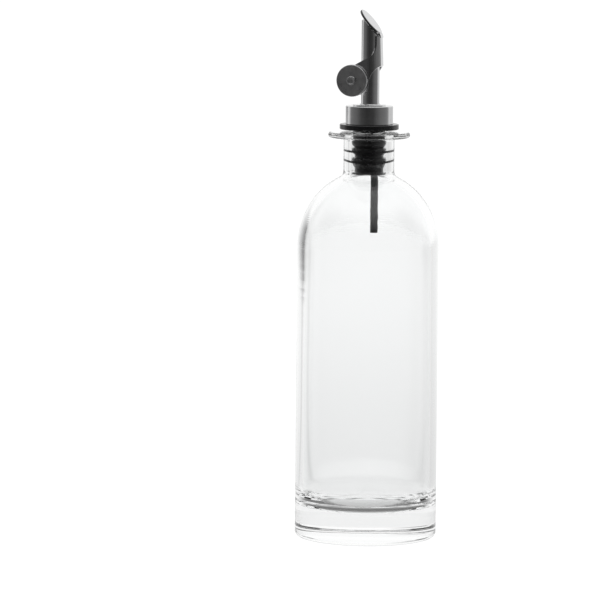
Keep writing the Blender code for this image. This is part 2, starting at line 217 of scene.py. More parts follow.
world = bpy.data.worlds.new("studio")
bpy.context.scene.world = world
world.use_nodes = True
sky = world.node_tree
sky.nodes.clear()
ray = add_node(sky, "ShaderNodeTexCoord").outputs["Generated"]
walls = add_node(sky, "ShaderNodeGroup", node_tree=room)
sky.links.new(ray, walls.inputs["Direction"])
height = add_node(sky, "ShaderNodeSeparateXYZ", ((0, ray),)).outputs["Z"]
back_share = calculate(sky, "MULTIPLY", walls.outputs["Back"], smooth_range(sky, height, *BACK_FOOT))
wall_level = mix_values(sky, back_share, walls.outputs["Level"], BACK_LEVEL)
card_part = calculate(sky, "MULTIPLY", walls.outputs["Card"], smooth_range(sky, height, *CARD_FOOT))
card_seen = calculate(sky, "MULTIPLY", card_part, smooth_range(sky, height, *CARD_HEAD, 1.0, 0.0))
with_card = calculate(sky, "MULTIPLY", wall_level, calculate(sky, "SUBTRACT", 1.0, card_seen))
up = smooth_range(sky, height, CEILING_LOW, CEILING_HIGH)
lit = mix_values(sky, up, with_card, CEILING)
straight = add_node(sky, "ShaderNodeLightPath").outputs["Is Camera Ray"]
seen = mix_values(sky, straight, lit, SEEN_WHITE)
white = (1.0, 1.0, 1.0, 1.0)
glow = add_node(sky, "ShaderNodeBackground", (("Color", white), ("Strength", seen))).outputs[0]
add_node(sky, "ShaderNodeOutputWorld", (("Surface", glow),))
bpy.context.scene.view_settings.view_transform = "Standard"
print("walls and ceiling ready, seen white is", SEEN_WHITE)

# %% [markdown]
# ## Table
#
# The bottle stands on a sheet of white acrylic, lit from below. A round disc with a glow does the same.
# It glows evenly near the bottle. Further out it follows the room: bright behind, dark in front, so that
# the steel doesn't mirror a bright table. Under the bottle the real sheet gets less light, most of all
# under the front of the base. A painted shadow does this: a dark ring in the glow, weaker behind the
# middle than in front of it, and the thick glass of the floor bends it into the grey bands at the foot.
# Where a value is a pair, a change starts at the first number and ends at the second.

# %% Table
TABLE_R = 2.1
TABLE_SIDES = 96
GLOW_NEAR = 0.86
# The next values make a painted shadow under the bottle: a dimmer middle and a dark ring in the glow.
GLOW_MIDDLE = 0.60
GLOW_RING = 0.19
GLOW_RING_BACK = 0.42
MIDDLE_R = (0.018, 0.023)
RING_EDGE_R = (0.031, 0.037)
BACK_EDGE_R = (0.0265, 0.0300)
RING_FRONT = (-0.016, 0.0)
GLOW_FAR = 1.0
GLOW_R = 1.3
EVEN_R = 0.06
ROOM_R = 0.22
CARD_NEAR_R = 1.22
CARD_FAR_R = 1.46
TABLE_DIFFUSE = 0.10

table_shape = bmesh.new()
bmesh.ops.create_circle(table_shape, cap_ends=True, radius=TABLE_R, segments=TABLE_SIDES)
table_mesh = bpy.data.meshes.new("table")
table_shape.to_mesh(table_mesh)
table_shape.free()
table = bpy.data.objects.new("table", table_mesh)
bpy.context.scene.collection.objects.link(table)
acrylic_material = bpy.data.materials.new("white_acrylic")
acrylic_material.use_nodes = True
acrylic = acrylic_material.node_tree
acrylic.nodes.clear()
spot = add_node(acrylic, "ShaderNodeTexCoord").outputs["Object"]
reach = add_node(acrylic, "ShaderNodeVectorMath", ((0, spot),), operation="LENGTH").outputs["Value"]
around = add_node(acrylic, "ShaderNodeGroup", node_tree=room)
acrylic.links.new(spot, around.inputs["Direction"])
card_reach = smooth_range(acrylic, reach, CARD_NEAR_R, CARD_FAR_R)
card_share = calculate(acrylic, "MULTIPLY", around.outputs["Card"], card_reach)
beside_card = calculate(acrylic, "SUBTRACT", 1.0, card_share)
far_level = calculate(acrylic, "MULTIPLY", around.outputs["Level"], beside_card)
far_share = smooth_range(acrylic, reach, EVEN_R, ROOM_R)
room_share = mix_values(acrylic, far_share, 1.0, far_level)
base_glow = smooth_range(acrylic, reach, 0.0, GLOW_R, GLOW_NEAR, GLOW_FAR)
# Painted shadow under the bottle: the glow dips in a ring, less behind the middle than in front.
shadow_ring_front, shadow_ring_back = (
    calculate(
        acrylic, "MAXIMUM",
        smooth_range(acrylic, reach, *MIDDLE_R, GLOW_MIDDLE, ring_level),
        smooth_range(acrylic, reach, *edge_r, ring_level, 1.0),
    )
    for ring_level, edge_r in ((GLOW_RING, RING_EDGE_R), (GLOW_RING_BACK, BACK_EDGE_R))
)
in_front = smooth_range(acrylic, part_along(acrylic, spot, towards_camera), *RING_FRONT)
painted_shadow_under_bottle = mix_values(acrylic, in_front, shadow_ring_back, shadow_ring_front)
near_glow = calculate(acrylic, "MULTIPLY", base_glow, painted_shadow_under_bottle)
table_glow = calculate(acrylic, "MULTIPLY", near_glow, room_share)
straight = add_node(acrylic, "ShaderNodeLightPath").outputs["Is Camera Ray"]
shown = mix_values(acrylic, straight, table_glow, 1.0)
emission = add_node(acrylic, "ShaderNodeEmission", (("Strength", shown),)).outputs[0]
grey = (TABLE_DIFFUSE, TABLE_DIFFUSE, TABLE_DIFFUSE, 1.0)
matt = add_node(acrylic, "ShaderNodeBsdfDiffuse", (("Color", grey),)).outputs[0]
both = add_node(acrylic, "ShaderNodeAddShader", ((0, emission), (1, matt))).outputs[0]
add_node(acrylic, "ShaderNodeOutputMaterial", (("Surface", both),))
table.data.materials.append(acrylic_material)
print("table is", 2 * TABLE_R, "m across")

# %% [markdown]
# ## A lathe
#
# Nearly every piece here was turned, blown or pressed round an axis. One helper turns a profile into a
# mesh: each point of the profile becomes a ring, and neighbouring rings are joined by quads. A point on
# the axis becomes one vertex. The optional shift moves each vertex a little, for hand-made unevenness.

# %% Lathe
HOLD = 0.05 * MM
ON_AXIS = 1e-7
SHARP_ANGLE = math.radians(50)


def arc(centre, radius_x, radius_z, start_deg, end_deg, steps):
    """Points along an ellipse's arc in the profile plane, both ends included."""
    points = []
    for i in range(steps + 1):
        turn = math.radians(start_deg + (end_deg - start_deg) * i / steps)
        points.append((centre[0] + radius_x * math.cos(turn), centre[1] + radius_z * math.sin(turn)))
    return points


def bend(start, corner, end, steps):
    """Points along a smooth bend from start to end that is pulled towards the corner."""
    points = []
    for i in range(steps + 1):
        t = i / steps
        a, b, c = (1 - t) ** 2, 2 * t * (1 - t), t * t
        points.append(tuple(a * s + b * k + c * e for s, k, e in zip(start, corner, end)))
    return points


def straight_run(start, end, steps):
    """Points between start and end, without the ends."""
    return [
        tuple(s + (e - s) * i / steps for s, e in zip(start, end)) for i in range(1, steps)
    ]


def hold_flats(profile, closed):
    """Adds a point just inside both ends of each straight stretch, so that its shading stays flat."""
    ends = profile[1:] + profile[:1] if closed else profile[1:]
    held = []
    for start, end in zip(profile, ends):
        length = math.dist(start, end)
        held.append(start)
        if length > 4 * HOLD:
            near = HOLD / length
            held += [tuple(s + (e - s) * t for s, e in zip(start, end)) for t in (near, 1 - near)]
    return held if closed else held + [profile[-1]]


def turn_round(name, profile, sides, closed=False, shift=None):
    """Turns a profile of (radius, height) points round Z into a smooth mesh object."""
    profile = hold_flats(profile, closed)
    verts = []
    rings = []
    for radius, height in profile:
        if radius < ON_AXIS:
            rings.append([len(verts)])
            verts.append(Vector((0.0, 0.0, height)))
            continue
        rings.append(range(len(verts), len(verts) + sides))
        for i in range(sides):
            turn = 2 * math.pi * i / sides
            verts.append(Vector((radius * math.cos(turn), radius * math.sin(turn), height)))
    if shift:
        verts = [v + shift(v) for v in verts]
    pairs = list(zip(rings, rings[1:]))
    if closed:
        pairs.append((rings[-1], rings[0]))
    faces = []
    for upper, lower in pairs:
        for i in range(sides):
            k = (i + 1) % sides
            corners = [upper[i % len(upper)], lower[i % len(lower)]]
            corners += [lower[k % len(lower)], upper[k % len(upper)]]
            faces.append(tuple(dict.fromkeys(corners)))
    mesh = bpy.data.meshes.new(name)
    mesh.from_pydata(verts, [], faces)
    made = bpy.data.objects.new(name, mesh)
    bpy.context.scene.collection.objects.link(made)
    mesh.shade_smooth()
    return made


def dress(piece, material, body, slot, *nodes):
    """Gives a piece its material and the body it moves with, and hides the CAD nodes it stands for. The slot
    is not used.
    """
    piece.data.materials.append(material)
    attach(piece, body)
    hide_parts(*nodes)
    print(piece.name, "has", len(piece.data.polygons), "faces")


print("lathe ready")

# %% [markdown]
# ## Clear glass finish
#
# Glass is a smooth shell with an index of refraction of about 1.52. The bottle is blown in a mould, so
# its skin isn't perfect: it rolls by a few hundredths of a millimetre. A large soft noise drives a faint
# bump, which makes the reflections run slightly crooked, as they do on real bottles.

# %% Clear glass
NOISE_LOW = 0.3
NOISE_HIGH = 0.7
GLASS_COLOUR = (0.985, 0.99, 0.99)
GLASS_IOR = 1.52
ROLL_SCALE = 40.0
ROLL_DEPTH = 0.04 * MM


def new_finish(name, colour, roughness, metallic=0.0):
    """A Principled material with its constants set, and its nodes, links and shader."""
    made = bpy.data.materials.new(name)
    made.use_nodes = True
    nodes = made.node_tree.nodes
    shader = nodes["Principled BSDF"]
    shader.inputs["Base Color"].default_value = (*colour, 1.0)
    shader.inputs["Roughness"].default_value = roughness
    shader.inputs["Metallic"].default_value = metallic
    made.diffuse_color = (*colour, 1.0)
    return made, nodes, made.node_tree.links, shader


def grain(nodes, links, scale, detail=2.0, stretch=(1.0, 1.0, 1.0)):
    """A noise in the object's own metres, longer along the axes with a small stretch."""
    place = nodes.new("ShaderNodeTexCoord")
    mapping = nodes.new("ShaderNodeMapping")
    mapping.inputs["Scale"].default_value = stretch
    texture = nodes.new("ShaderNodeTexNoise")
    texture.inputs["Scale"].default_value = scale
    texture.inputs["Detail"].default_value = detail
    links.new(place.outputs["Object"], mapping.inputs["Vector"])
    links.new(mapping.outputs["Vector"], texture.inputs["Vector"])
    return texture.outputs["Fac"]


def spread(nodes, links, source, low, high, socket):
    """Sends a noise to a socket, between two values."""
    limits = nodes.new("ShaderNodeMapRange")
    limits.inputs["From Min"].default_value = NOISE_LOW
    limits.inputs["From Max"].default_value = NOISE_HIGH
    limits.inputs["To Min"].default_value = low
    limits.inputs["To Max"].default_value = high
    links.new(source, limits.inputs["Value"])
    links.new(limits.outputs["Result"], socket)


def spread_colour(nodes, links, source, dark, light, socket):
    """Sends a noise to a colour socket, between two colours."""
    mix = nodes.new("ShaderNodeMix")
    mix.data_type = "RGBA"
    mix.inputs["A"].default_value = (*dark, 1.0)
    mix.inputs["B"].default_value = (*light, 1.0)
    links.new(source, mix.inputs["Factor"])
    links.new(mix.outputs["Result"], socket)


def raise_grain(nodes, links, source, depth, shader):
    """Turns a noise into relief of the given depth."""
    relief = nodes.new("ShaderNodeBump")
    relief.inputs["Strength"].default_value = 1.0
    relief.inputs["Distance"].default_value = depth
    links.new(source, relief.inputs["Height"])
    links.new(relief.outputs["Normal"], shader.inputs["Normal"])


glass, nodes, links, shader = new_finish("clear_glass", GLASS_COLOUR, roughness=0.0)
shader.inputs["Transmission Weight"].default_value = 1.0
shader.inputs["IOR"].default_value = GLASS_IOR
roll = grain(nodes, links, ROLL_SCALE, stretch=(1.0, 1.0, 0.35))
raise_grain(nodes, links, roll, ROLL_DEPTH, shader)
print("clear glass ready")

# %% [markdown]
# ## Glass bottle
#
# The profile starts on the axis at the inner floor, climbs the inside, goes over the wide lip and comes
# down the outside to the hollow under the base. Inside and outside are one closed skin, which is what a
# ray tracer needs to bend light properly. The inner wall gets a slow waviness that fades at the neck.

# %% Glass bottle
BODY_R = 36.25 * MM
BODY_TOP_Z = 149.1 * MM
SHOULDER_H = 39.3 * MM
HEEL_R = 2.6 * MM
REST_RING_R = 28.0 * MM
PUNT_H = 1.6 * MM
PUNT_BEND = 0.6
FLOOR_Z = 15.6 * MM
FLOOR_CORNER = 9.5 * MM
FLOOR_CORNER_H = 10.8 * MM
INSIDE_R_LOW = 33.0 * MM
INSIDE_R_HIGH = 32.4 * MM
INSIDE_SHOULDER_H = 35.7 * MM
NECK_R = 13.0 * MM
BORE_R = 9.0 * MM
BORE_EDGE = 0.8 * MM
NECK_FOOT_Z = 188.0 * MM
LIP_R = 20.9 * MM
LIP_TOP_Z = 207.9 * MM
LIP_T = 2.8 * MM
LIP_RISE = 0.4 * MM
LIP_FILLET = 1.4 * MM
WAVE_DEPTH = 0.16 * MM
WAVE_TOP_Z = 180.0 * MM
WAVE_FADE_TOP = 25.0 * MM
WAVE_FADE_FOOT = 10.0 * MM
WAVES_ROUND = 1.6
WAVES_UP = 9.0
SKIN_MARGIN = 1.0 * MM
GLASS_SIDES = 192
WALL_STEPS = 30
SHOULDER_END = 66.0


def bottle_inside():
    """From the middle of the floor to the top of the bore."""
    wall_foot = FLOOR_Z + FLOOR_CORNER_H
    flat_r = INSIDE_R_LOW - FLOOR_CORNER
    line = [(0.0, FLOOR_Z)] + straight_run((0.0, FLOOR_Z), (flat_r, FLOOR_Z), 10)
    line += arc((flat_r, wall_foot), FLOOR_CORNER, FLOOR_CORNER_H, -90, 0, 20)
    for i in range(1, WALL_STEPS):
        up = i / WALL_STEPS
        taper = up * up * (3 - 2 * up)
        radius = INSIDE_R_LOW + (INSIDE_R_HIGH - INSIDE_R_LOW) * taper
        line.append((radius, wall_foot + (BODY_TOP_Z - wall_foot) * up))
    line += arc((0.0, BODY_TOP_Z), INSIDE_R_HIGH, INSIDE_SHOULDER_H, 0, SHOULDER_END, 40)
    slope = INSIDE_SHOULDER_H / INSIDE_R_HIGH / math.tan(math.radians(SHOULDER_END))
    corner_r = BORE_R + 0.15 * MM
    corner = (corner_r, line[-1][1] + (line[-1][0] - corner_r) * slope)
    bore_foot = (BORE_R, NECK_FOOT_Z - 1.0 * MM)
    line += bend(line[-1], corner, bore_foot, 12)[1:]
    line += straight_run(bore_foot, (BORE_R, LIP_TOP_Z + LIP_RISE - BORE_EDGE), 16)
    return line


def bottle_over_lip():
    """Over the lip, and under it to the neck."""
    lip_mid = LIP_TOP_Z - LIP_T / 2
    under = LIP_TOP_Z - LIP_T
    bore_top = (BORE_R + BORE_EDGE, LIP_TOP_Z + LIP_RISE - BORE_EDGE)
    line = arc(bore_top, BORE_EDGE, BORE_EDGE, 180, 90, 6)
    line += arc((LIP_R - LIP_T / 2, lip_mid), LIP_T / 2, LIP_T / 2, 90, -90, 16)
    line += bend((NECK_R + LIP_FILLET, under), (NECK_R, under), (NECK_R, under - LIP_FILLET), 6)
    return line


def bottle_outside():
    """Down the neck, the shoulder and the wall, round the heel and into the hollow base."""
    shoulder = arc((0.0, BODY_TOP_Z), BODY_R, SHOULDER_H, 65, 0, 44)
    neck_foot = (NECK_R, NECK_FOOT_Z)
    line = straight_run((NECK_R, LIP_TOP_Z - LIP_T - LIP_FILLET), neck_foot, 14)
    line += bend(neck_foot, (NECK_R, NECK_FOOT_Z - 2.1 * MM), shoulder[0], 8)
    line += shoulder[1:]
    line += straight_run(shoulder[-1], (BODY_R, HEEL_R), 24)
    line += arc((BODY_R - HEEL_R, HEEL_R), HEEL_R, HEEL_R, 0, -90, 12)
    line += bend((REST_RING_R, 0.0), (REST_RING_R * PUNT_BEND, PUNT_H), (0.0, PUNT_H), 14)
    return line


def wall_waviness(point):
    """A slow in and out of the inner wall, none on the outer skin or in the neck."""
    still = Vector((0.0, 0.0, 0.0))
    radius = math.hypot(point.x, point.y)
    mid_wall = (INSIDE_R_HIGH + BODY_R) / 2
    if radius > mid_wall or radius < SKIN_MARGIN or not FLOOR_Z < point.z < WAVE_TOP_Z:
        return still
    rise = (point.z - BODY_TOP_Z) / SHOULDER_H
    shoulder_r = BODY_R * math.sqrt(max(0.0, 1 - rise ** 2))
    if rise > 0 and radius > shoulder_r - SKIN_MARGIN:
        return still
    fade_top = min(1.0, (WAVE_TOP_Z - point.z) / WAVE_FADE_TOP)
    fade_foot = min(1.0, (point.z - FLOOR_Z) / WAVE_FADE_FOOT)
    out = Vector((point.x, point.y, 0.0)) / radius
    rolls = noise.noise(Vector((out.x * WAVES_ROUND, out.y * WAVES_ROUND, point.z * WAVES_UP)))
    return out * (WAVE_DEPTH * fade_top * fade_foot * rolls)


bottle_profile = bottle_inside() + bottle_over_lip() + bottle_outside()
bottle = turn_round("glass_bottle", bottle_profile, GLASS_SIDES, shift=wall_waviness)
dress(bottle, glass, "bottle_body", "clear_glass", "bottle")

# %% [markdown]
# ## Black rubber finish
#
# Moulded rubber is nearly black. Its skin has a soft gloss that grows strong at a flat angle, so the top
# of the ring looks pale. One noise varies the colour and the gloss, and a finer one raises the grain.

# %% Black rubber
RUBBER_COLOUR = (0.012, 0.012, 0.013)
RUBBER_DARK = (0.006, 0.006, 0.0065)
RUBBER_LIGHT = (0.020, 0.020, 0.021)
RUBBER_GLOSS = (0.14, 0.22)
MOTTLE_SCALE = 500.0
PIT_SCALE = 2600.0
PIT_DEPTH = 0.004 * MM

rubber, nodes, links, shader = new_finish("black_rubber", RUBBER_COLOUR, roughness=0.55)
shader.inputs["Specular IOR Level"].default_value = 0.5
mottle = grain(nodes, links, MOTTLE_SCALE, detail=4.0)
spread(nodes, links, mottle, *RUBBER_GLOSS, shader.inputs["Roughness"])
spread_colour(nodes, links, mottle, RUBBER_DARK, RUBBER_LIGHT, shader.inputs["Base Color"])
pits = grain(nodes, links, PIT_SCALE, detail=3.0)
raise_grain(nodes, links, pits, PIT_DEPTH, shader)
print("black rubber ready")

# %% [markdown]
# ## Rubber stopper
#
# A wide ring lies over the lip and carries the collar. Below it a bulge and two fins press against the
# glass, and a flange closes the foot. Real fins are squeezed flat where they touch, and it is this black
# line of contact that shows through the glass, so the fins here end just inside the glass. A stopper
# that is pushed in by hand never sits quite square, so each fin lies a little lower towards the camera.

# %% Rubber stopper
TUBE_R = 4.7 * MM
TUBE_X = 0.35 * MM
HOLE_R = TUBE_R + 0.05 * MM
RING_R = 15.1 * MM
RING_Z = 209.3 * MM
RING_TOP_Z = 212.0 * MM
SHAFT_R = 8.2 * MM
CORE_R = 7.3 * MM
STEP_R = 8.4 * MM
FLARE_TOP_R = 5.1 * MM
PRESSED_R = BORE_R + 0.03 * MM
BULGE_Z = 203.0 * MM
RIDGE_R = BORE_R - 0.12 * MM
STOPPER_FOOT_Z = 186.1 * MM
FINS = ((198.4 * MM, 197.3 * MM), (193.4 * MM, 190.9 * MM))  # each fin's tip and root
FIN_HALF = 0.55 * MM
FIN_TILTS = (0.4 * MM, 0.9 * MM)
FIN_REACH = 2.4 * MM


def follow_tube(point):
    """The tube stands a little behind the axis, so the rim of each hole round it moves with it."""
    radius = math.hypot(point.x, point.y)
    share = min(1.0, max(0.0, (STEP_R - radius) / (STEP_R - FLARE_TOP_R)))
    return Vector((TUBE_X * share, 0.0, 0.0))


def settle(point):
    """The hole follows the tube, and each fin is pushed a little lower on the side of the camera."""
    radius = math.hypot(point.x, point.y)
    moved = follow_tube(point)
    if radius > CORE_R:
        for (tip_z, _), tilt in zip(FINS, FIN_TILTS):
            near = max(0.0, 1.0 - abs(point.z - tip_z) / FIN_REACH)
            outward = min(1.0, (radius - CORE_R) / (RIDGE_R - CORE_R))
            moved.z -= tilt * near * outward * point.dot(towards_camera) / radius
    return moved


def stopper_profile():
    """Over the ring, down the shaft, bulge, fins and foot, and back up the hole."""
    edge = 0.45 * MM
    line = [(HOLE_R, RING_TOP_Z)] + straight_run((HOLE_R, RING_TOP_Z), (RING_R - edge, RING_TOP_Z), 4)
    line += arc((RING_R - edge, RING_TOP_Z - edge), edge, edge, 90, 0, 6)
    line += arc((RING_R - edge, RING_Z + edge), edge, edge, 0, -90, 6)
    line += bend((SHAFT_R + 0.8 * MM, RING_Z), (SHAFT_R, RING_Z), (SHAFT_R, RING_Z - 0.8 * MM), 4)
    line += [(SHAFT_R, BULGE_Z + 2.4 * MM)]
    bulge_top = (RIDGE_R, BULGE_Z + 1.4 * MM)
    bulge_foot = (RIDGE_R, BULGE_Z - 1.4 * MM)
    line += bend((SHAFT_R, BULGE_Z + 1.6 * MM), bulge_top, (RIDGE_R, BULGE_Z + 0.6 * MM), 5)
    line += bend((RIDGE_R, BULGE_Z - 0.4 * MM), bulge_foot, (CORE_R, BULGE_Z - 2.8 * MM), 5)
    for tip_z, root_z in FINS:
        ridge = (RIDGE_R, tip_z + 1.7 * MM)
        root = (CORE_R + 0.6 * MM, root_z)
        line += bend((CORE_R, tip_z + 1.8 * MM), ridge, (RIDGE_R, tip_z + 1.1 * MM), 5)
        line += [(RIDGE_R, tip_z + FIN_HALF)]
        line += [(PRESSED_R, tip_z + FIN_HALF), (PRESSED_R, tip_z - FIN_HALF)]
        line += bend((RIDGE_R, tip_z - FIN_HALF), root, (CORE_R, root_z - 1.2 * MM), 6)
    foot_top = STOPPER_FOOT_Z + 1.3 * MM
    flange = (RIDGE_R - 0.2 * MM, foot_top - 0.1 * MM)
    hole_foot = (HOLE_R, STOPPER_FOOT_Z + 0.3 * MM)
    line += bend((CORE_R, foot_top + 0.5 * MM), (CORE_R, foot_top), flange, 5)
    line += [(RIDGE_R, foot_top - 0.3 * MM)]
    line += arc((RIDGE_R - edge, STOPPER_FOOT_Z + edge), edge, edge, 0, -90, 6)
    line += [(HOLE_R + 0.3 * MM, STOPPER_FOOT_Z), hole_foot]
    line += straight_run(hole_foot, (HOLE_R, RING_TOP_Z), 4)
    return line


stopper = turn_round("rubber_stopper", stopper_profile(), sides=128, closed=True, shift=settle)
stopper.data.set_sharp_from_angle(angle=SHARP_ANGLE)
dress(stopper, rubber, "bottle_body", "black_rubber", "stopper")

# %% [markdown]
# ## Polished steel finish
#
# Polished stainless steel is a mirror with very fine polishing lines. It reflects a bit more than half of
# the light. A noise stretched round the piece breaks up the gloss, as wiping and handling do.

# %% Polished steel
STEEL_COLOUR = (0.63, 0.63, 0.635)
STEEL_DARK = (0.59, 0.59, 0.595)
STEEL_LIGHT = (0.67, 0.67, 0.672)
STEEL_GLOSS = (0.09, 0.13)
STEEL_ROUGHNESS = 0.12
WIPE_SCALE = 90.0
WIPE_STRETCH = (1.0, 1.0, 4.0)
POLISH_SCALE = 900.0
POLISH_STRETCH = (1.0, 1.0, 8.0)
POLISH_DEPTH = 0.0006 * MM

polished, nodes, links, shader = new_finish("polished_steel", STEEL_COLOUR, STEEL_ROUGHNESS, metallic=1.0)
wiping = grain(nodes, links, WIPE_SCALE, detail=4.0, stretch=WIPE_STRETCH)
spread(nodes, links, wiping, *STEEL_GLOSS, shader.inputs["Roughness"])
spread_colour(nodes, links, wiping, STEEL_DARK, STEEL_LIGHT, shader.inputs["Base Color"])
lines = grain(nodes, links, POLISH_SCALE, detail=3.0, stretch=POLISH_STRETCH)
raise_grain(nodes, links, lines, POLISH_DEPTH, shader)
print("polished steel ready")

# %% [markdown]
# ## Steel collar
#
# The collar is a deep-drawn or turned cap. Its top edge is rounded, a low step stands on top, and a small
# flare rises from it to the spout tube. Small radii at every edge catch the light, so none is left sharp.

# %% Steel collar
COLLAR_R = 12.15 * MM
COLLAR_TOP_Z = 221.4 * MM
COLLAR_EDGE = 0.5 * MM
STEP_H = 0.5 * MM
FLARE_R = 5.6 * MM
FLARE_H = 0.5 * MM


def collar_profile():
    """Down the flare, over the step and the top edge, down the side and across the bottom."""
    bottom = RING_TOP_Z + 0.05 * MM
    step_top = COLLAR_TOP_Z + STEP_H
    soft = 0.15 * MM
    flare_top = (FLARE_TOP_R, step_top + FLARE_H)
    line = [(HOLE_R, flare_top[1])]
    line += bend(flare_top, (FLARE_TOP_R + 0.1 * MM, step_top + 0.1 * MM), (FLARE_R, step_top), 10)
    line += arc((STEP_R - soft, step_top - soft), soft, soft, 90, 0, 4)
    line += bend((STEP_R, COLLAR_TOP_Z + soft), (STEP_R, COLLAR_TOP_Z), (STEP_R + soft, COLLAR_TOP_Z), 3)
    line += arc((COLLAR_R - COLLAR_EDGE, COLLAR_TOP_Z - COLLAR_EDGE), COLLAR_EDGE, COLLAR_EDGE, 90, 0, 12)
    line += arc((COLLAR_R - soft, bottom + soft), soft, soft, 0, -90, 4)
    line += [(HOLE_R, bottom)]
    return line


collar = turn_round("steel_collar", collar_profile(), sides=160, closed=True, shift=follow_tube)
collar.data.set_sharp_from_angle(angle=SHARP_ANGLE)
dress(collar, polished, "bottle_body", "polished_steel", "collar")

# %% [markdown]
# ## Spout tube
#
# The tube is cut on a slant of about 49 degrees, and its tallest point is trimmed level. Each ring of the
# mesh has the same angle steps, but the top rings follow the cut, and the rim is rolled over by a few
# tenths of a millimetre, so it shows a bright line. Two small studs on the sides carry the lever.

# %% Spout tube
TUBE_WALL = 0.4 * MM
TUBE_FOOT_Z = 186.4 * MM
TUBE_TOP_Z = 265.0 * MM
MOUTH_Z = 262.7 * MM
MOUTH_SLOPE = math.radians(49.2)
CUT_FOOT_Z = 225.0 * MM
TUBE_SIDES = 96
PIVOT = Vector((-1.0 * MM, 0.0, 238.4 * MM))
STUD_R = 0.8 * MM
STUD_OUT = 6.2 * MM
STUD_SIDES = 24


def slant_z(x, lift=0.0):
    """Height at x of a plane parallel to the mouth's cut, lifted square to it."""
    return MOUTH_Z + lift / math.cos(MOUTH_SLOPE) - x * math.tan(MOUTH_SLOPE)


def spout_profile():
    """From the mouth's inner edge over the rim, down the outside and up the inside."""
    inner_r = TUBE_R - TUBE_WALL
    half = TUBE_WALL / 2
    line = arc((inner_r + half, TUBE_TOP_Z - half), half, half, 180, 0, 10)
    line += straight_run((TUBE_R, TUBE_TOP_Z - half), (TUBE_R, TUBE_FOOT_Z), 40)
    line += [(TUBE_R, TUBE_FOOT_Z), (inner_r, TUBE_FOOT_Z)]
    line += straight_run((inner_r, TUBE_FOOT_Z), (inner_r, TUBE_TOP_Z - half), 40)
    return line


def place_and_cut(point):
    """Moves the tube to its place and pulls its upper half down to the slanted cut."""
    if point.z < CUT_FOOT_Z:
        return Vector((TUBE_X, 0.0, 0.0))
    cut = min(TUBE_TOP_Z, slant_z(point.x + TUBE_X))
    drop = (cut - TUBE_TOP_Z) * (point.z - CUT_FOOT_Z) / (TUBE_TOP_Z - CUT_FOOT_Z)
    return Vector((TUBE_X, 0.0, drop))


def add_studs(piece):
    """Two round-ended studs along Y, joined to the tube's mesh."""
    shape = bmesh.new()
    shape.from_mesh(piece.data)
    steps = [(STUD_R, TUBE_R - 0.4 * MM), (STUD_R, STUD_OUT - 0.3 * MM)]
    steps += [(STUD_R - 0.1 * MM, STUD_OUT - 0.08 * MM), (STUD_R - 0.3 * MM, STUD_OUT)]
    for sign in (-1, 1):
        rings = []
        for radius, out in steps:
            ring = []
            for i in range(STUD_SIDES):
                turn = 2 * math.pi * i / STUD_SIDES * sign
                x = PIVOT.x + radius * math.cos(turn)
                z = PIVOT.z + radius * math.sin(turn)
                ring.append(shape.verts.new((x, sign * out, z)))
            rings.append(ring)
        for inner, outer in zip(rings, rings[1:]):
            for i in range(STUD_SIDES):
                k = (i + 1) % STUD_SIDES
                shape.faces.new((inner[k], inner[i], outer[i], outer[k])).smooth = True
        shape.faces.new(rings[-1])
    bmesh.ops.recalc_face_normals(shape, faces=shape.faces)
    shape.to_mesh(piece.data)
    shape.free()


spout = turn_round("spout_tube_steel", spout_profile(), TUBE_SIDES, closed=True, shift=place_and_cut)
add_studs(spout)
spout.data.set_sharp_from_angle(angle=SHARP_ANGLE)
dress(spout, polished, "bottle_body", "polished_steel", "spout_tube")

# %% [markdown]
# ## Air tube
#
# A thin plastic tube lets air into the bottle while the oil runs out. It is cut from a coil, so it isn't
# quite straight and its wall swells and narrows a little. A noise moves each ring sideways.

# %% Dark plastic
PLASTIC_COLOUR = (0.05, 0.05, 0.052)
PLASTIC_DARK = (0.026, 0.026, 0.027)
PLASTIC_LIGHT = (0.062, 0.062, 0.064)
PLASTIC_GLOSS = (0.28, 0.48)
SCUFF_SCALE = 700.0
SCUFF_STRETCH = (1.0, 1.0, 0.3)
SCUFF_DEPTH = 0.05 * MM

plastic, nodes, links, shader = new_finish("dark_plastic", PLASTIC_COLOUR, roughness=0.35)
scuffs = grain(nodes, links, SCUFF_SCALE, detail=4.0, stretch=SCUFF_STRETCH)
spread(nodes, links, scuffs, *PLASTIC_GLOSS, shader.inputs["Roughness"])
spread_colour(nodes, links, scuffs, PLASTIC_DARK, PLASTIC_LIGHT, shader.inputs["Base Color"])
raise_grain(nodes, links, scuffs, SCUFF_DEPTH, shader)
print("dark plastic ready")

# %% Air tube
AIR_R = 1.7 * MM
AIR_WALL = 0.6 * MM
AIR_X = 2.65 * MM
AIR_LOW_Z = 156.3 * MM
AIR_TOP_Z = 250.7 * MM
AIR_FADE = 3.0 * MM
AIR_SWAY = 0.16 * MM
AIR_BEND = 0.4 * MM
AIR_SWELL = 0.13
SWELL_VARIES = 0.09
SWAYS_PER_M = 260.0
SWELLS_PER_M = 420.0
SWAY_SEED = (3.1, 0.7)
SWELL_SEED = (8.4, 2.2)


def air_tube_profile():
    """Over the top, down the outside, round the foot and up the inside."""
    inner_r = AIR_R - AIR_WALL
    soft = 0.25 * MM
    line = [(inner_r, AIR_TOP_Z), (AIR_R - soft, AIR_TOP_Z), (AIR_R, AIR_TOP_Z - soft)]
    line += straight_run((AIR_R, AIR_TOP_Z - soft), (AIR_R, AIR_LOW_Z + soft), 90)
    line += arc((AIR_R - soft, AIR_LOW_Z + soft), soft, soft, 0, -90, 4)
    line += [(inner_r, AIR_LOW_Z)]
    line += straight_run((inner_r, AIR_LOW_Z), (inner_r, AIR_TOP_Z), 90)
    return line


